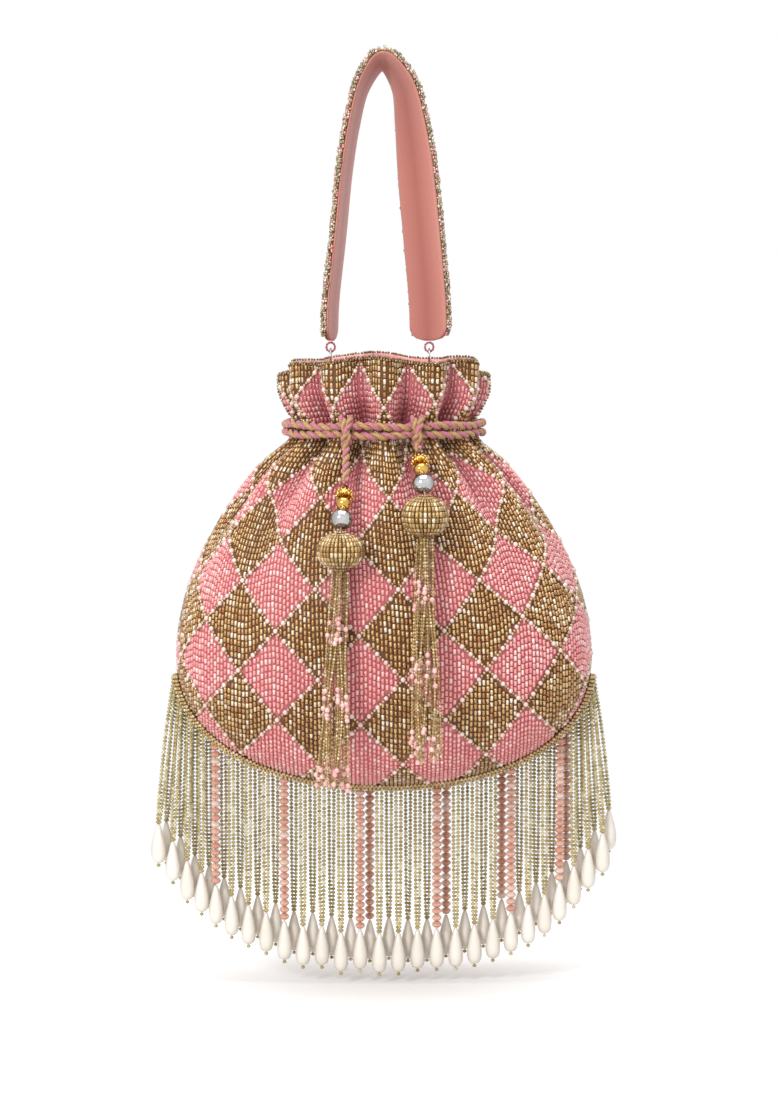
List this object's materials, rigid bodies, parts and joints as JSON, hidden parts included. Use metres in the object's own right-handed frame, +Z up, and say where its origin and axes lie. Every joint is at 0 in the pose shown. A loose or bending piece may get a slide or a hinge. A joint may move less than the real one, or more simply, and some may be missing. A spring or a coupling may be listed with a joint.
{
  "type": "potli bag",
  "caption": "Beaded drawstring pouch with a strap handle, two bead tassels and a fringe of bead strands and drop pearls; it hangs from the hand by its strap.",
  "frame": {"origin": "the grip under the crown of the handle strap, where a hand or a hook holds the bag", "axes": "+Z up, the front with the tassels faces -Y, +X to the right seen from the front"},
  "size_m": [0.234, 0.1416, 0.4584],
  "materials": {
    "beadwork": "cloth covered with pink and gold glass bugle beads",
    "satin_lining": "pink satin",
    "strap_fabric": "dusty rose woven fabric",
    "pink_cord": "thin pink cord",
    "two_tone_cord": "twisted satin cord in pink and gold",
    "fringe_beads": "champagne seed beads ending in cream drop pearls",
    "peach_crystal": "faceted peach crystal",
    "gold_beads": "gold-lined glass seed beads",
    "gold_metal": "polished gold",
    "silver_metal": "polished silver"
  },
  "bodies": {
    "handle": {"handle_lining": "strap_fabric", "handle_beadwork": "beadwork", "left_handle_loop": "pink_cord", "right_handle_loop": "pink_cord"},
    "bag": {"front_panel": "beadwork", "back_panel": "beadwork", "lining": "satin_lining", "drawstring_upper": "two_tone_cord", "drawstring_lower": "two_tone_cord", "fringe_1": "fringe_beads", "fringe_2": "fringe_beads", "fringe_3": "fringe_beads", "fringe_4": "fringe_beads", "fringe_5": "fringe_beads", "fringe_6": "fringe_beads", "crystal_strand_1": "peach_crystal", "crystal_strand_2": "peach_crystal", "crystal_strand_3": "peach_crystal", "crystal_strand_4": "peach_crystal", "crystal_strand_5": "peach_crystal", "crystal_strand_6": "peach_crystal", "crystal_strand_7": "peach_crystal", "crystal_strand_8": "peach_crystal", "crystal_strand_9": "peach_crystal", "crystal_strand_10": "peach_crystal", "left_ring": "silver_metal", "right_ring": "silver_metal", "left_ring_tab": "satin_lining", "right_ring_tab": "satin_lining"},
    "left_tail": {"left_tail": "two_tone_cord"},
    "left_tassel": {"left_bead_cap": "gold_metal", "left_gold_bead": "gold_metal", "left_silver_bead": "silver_metal", "left_melon": "gold_beads", "left_thread": "pink_cord", "left_skirt": "gold_beads"},
    "right_tail": {"right_tail": "two_tone_cord"},
    "right_tassel": {"right_bead_cap": "gold_metal", "right_gold_bead": "gold_metal", "right_silver_bead": "silver_metal", "right_melon": "gold_beads", "right_thread": "pink_cord", "right_skirt": "gold_beads"}
  },
  "joints": [
    {"name": "bag_swing", "type": "hinge", "parent": "handle", "child": "bag", "pos_m": [0, 0, -0.1429], "axis": [1, 0, 0], "range_deg": [-60, 60]},
    {"name": "left_tail_swing", "type": "hinge", "parent": "bag", "child": "left_tail", "pos_m": [-0.0185, -0.0297, -0.18315], "axis": [0, 1, 0], "range_deg": [-4, 25]},
    {"name": "left_tassel_lift", "type": "hinge", "parent": "left_tail", "child": "left_tassel", "pos_m": [-0.01863, -0.04035, -0.20637], "axis": [-1, 0, 0], "range_deg": [0, 60]},
    {"name": "right_tail_swing", "type": "hinge", "parent": "bag", "child": "right_tail", "pos_m": [0.0165, -0.0297, -0.18315], "axis": [0, -1, 0], "range_deg": [-4, 25]},
    {"name": "right_tassel_lift", "type": "hinge", "parent": "right_tail", "child": "right_tassel", "pos_m": [0.01697, -0.03388, -0.19084], "axis": [-1, 0, 0], "range_deg": [0, 60]}
  ]
}
